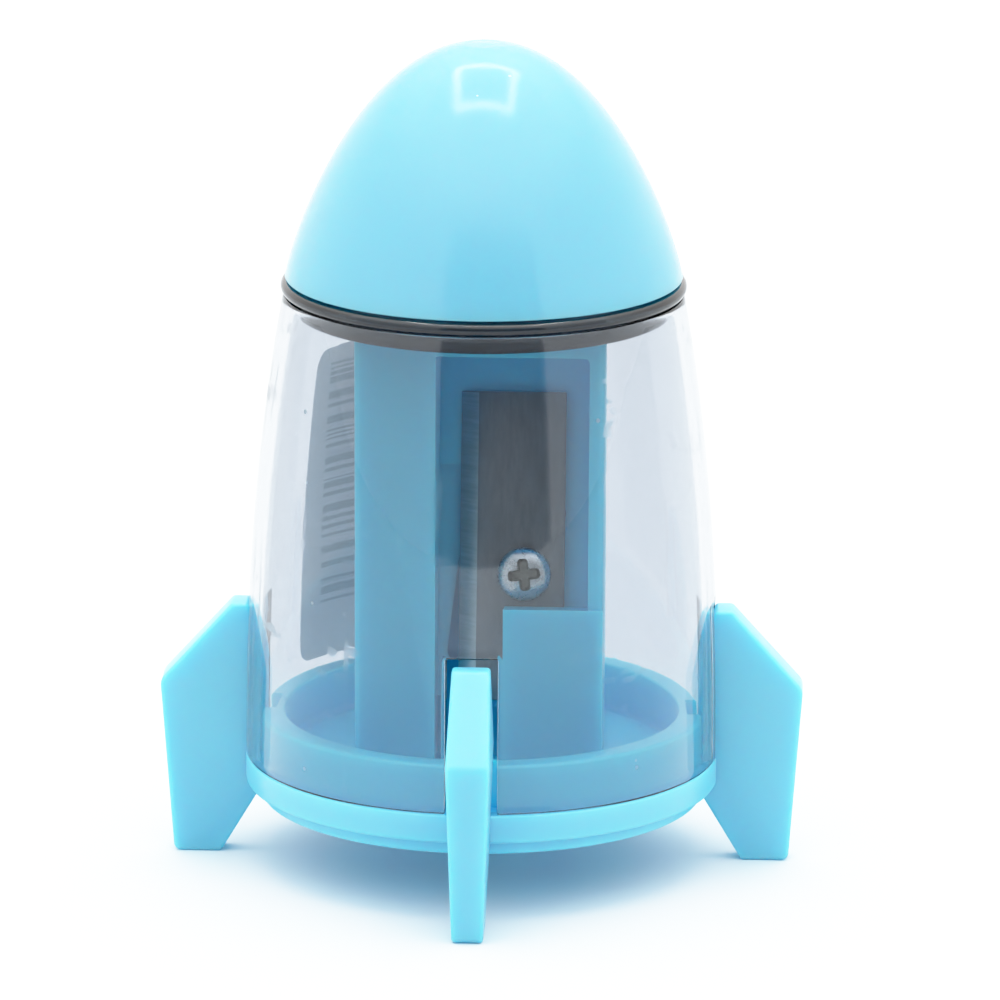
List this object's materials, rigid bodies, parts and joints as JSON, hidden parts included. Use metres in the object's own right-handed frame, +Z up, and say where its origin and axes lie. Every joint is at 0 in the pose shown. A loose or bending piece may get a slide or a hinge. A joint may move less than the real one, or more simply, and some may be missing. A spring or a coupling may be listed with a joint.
{
  "type": "pencil sharpener",
  "caption": "Rocket-shaped hand pencil sharpener: a slanted blade in a block on a finned base, under a clear shavings barrel with a lift-off nose cone.",
  "frame": {"origin": "on the rocket's axis at the level of the four feet", "axes": "+Z up towards the nose; -Y is the side that the blade faces; the fins point along -Y, +X, +Y and -X"},
  "size_m": [0.0494, 0.0494, 0.0637],
  "materials": {
    "blue_plastic": "glossy light blue moulded polystyrene",
    "clear_plastic": "clear polystyrene with a faint smoky tint",
    "smoke_plastic": "glossy dark smoke moulded polystyrene",
    "blade_steel": "ground carbon steel with a fine grain",
    "screw_steel": "bright plated steel",
    "paper": "white label paper with a few plain grey bars"
  },
  "bodies": {
    "base_assembly": {"base": "blue_plastic", "sharpener_block": "blue_plastic", "blade": "blade_steel", "blade_screw": "screw_steel"},
    "barrel_assembly": {"barrel": "clear_plastic", "label": "paper"},
    "nose_assembly": {"nose_cone": "blue_plastic", "coupling_ring": "smoke_plastic"}
  },
  "joints": [
    {"name": "barrel_lift", "type": "slide", "parent": "base_assembly", "child": "barrel_assembly", "axis": [0, 0, 1], "range_m": [0, 0.045]},
    {"name": "nose_lift", "type": "slide", "parent": "barrel_assembly", "child": "nose_assembly", "axis": [0, 0, 1], "range_m": [0, 0.02]}
  ]
}
